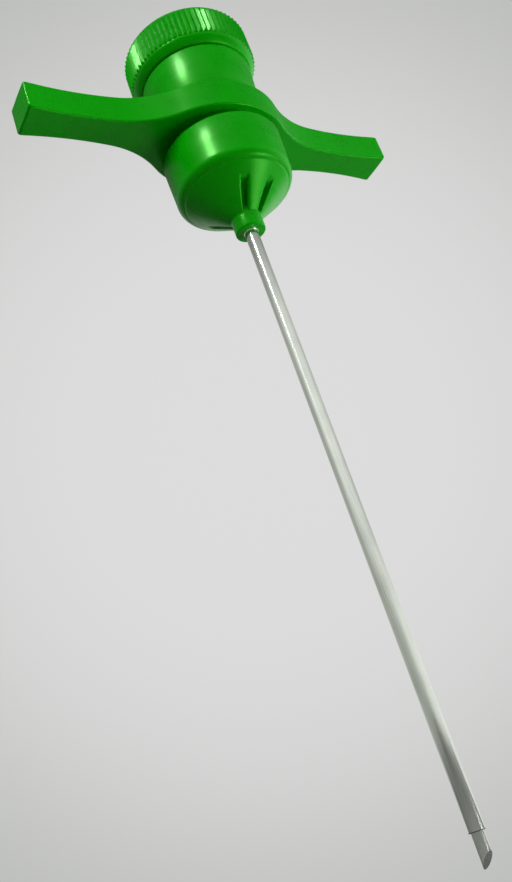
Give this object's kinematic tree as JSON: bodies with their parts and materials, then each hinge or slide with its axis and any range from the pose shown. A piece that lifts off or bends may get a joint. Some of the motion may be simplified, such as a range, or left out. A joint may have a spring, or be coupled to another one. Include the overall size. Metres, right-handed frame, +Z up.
{
  "type": "bone marrow biopsy needle",
  "caption": "Winged-handle bone marrow biopsy needle: a steel cannula with a bevelled stylet that draws out with its knurled turning lock cap",
  "frame": {"origin": "centre of the nose's end face, where the cannula leaves the handle", "axes": "+Z up through the handle to the cap, the needle points along -Z, the wings lie along X"},
  "size_m": [0.0934, 0.0304, 0.1887],
  "materials": {
    "green_plastic": "moulded gloss",
    "cannula_steel": "drawn and polished",
    "stylet_steel": "ground",
    "turned_steel": "turned",
    "natural_plastic": "moulded",
    "seal_rubber": "moulded"
  },
  "bodies": {
    "handle": {"handle_body": "green_plastic", "nose_piece": "green_plastic", "cannula": "cannula_steel", "cannula_ferrule": "turned_steel", "luer_socket": "natural_plastic", "lock_ring": "natural_plastic"},
    "stylet": {"stylet_rod": "stylet_steel", "stylet_carrier": "natural_plastic", "stylet_anchor": "turned_steel", "drag_ring": "seal_rubber"},
    "cap": {"cap_shell": "green_plastic", "cap_cover": "green_plastic"}
  },
  "joints": [
    {"name": "stylet_lift", "type": "slide", "parent": "handle", "child": "stylet", "axis": [0, 0, 1], "range_m": [0, 0.18]},
    {"name": "cap_turn", "type": "hinge", "parent": "stylet", "child": "cap", "pos_m": [0, 0, 0.05], "axis": [0, 0, 1], "range_deg": [-60, 0]}
  ]
}
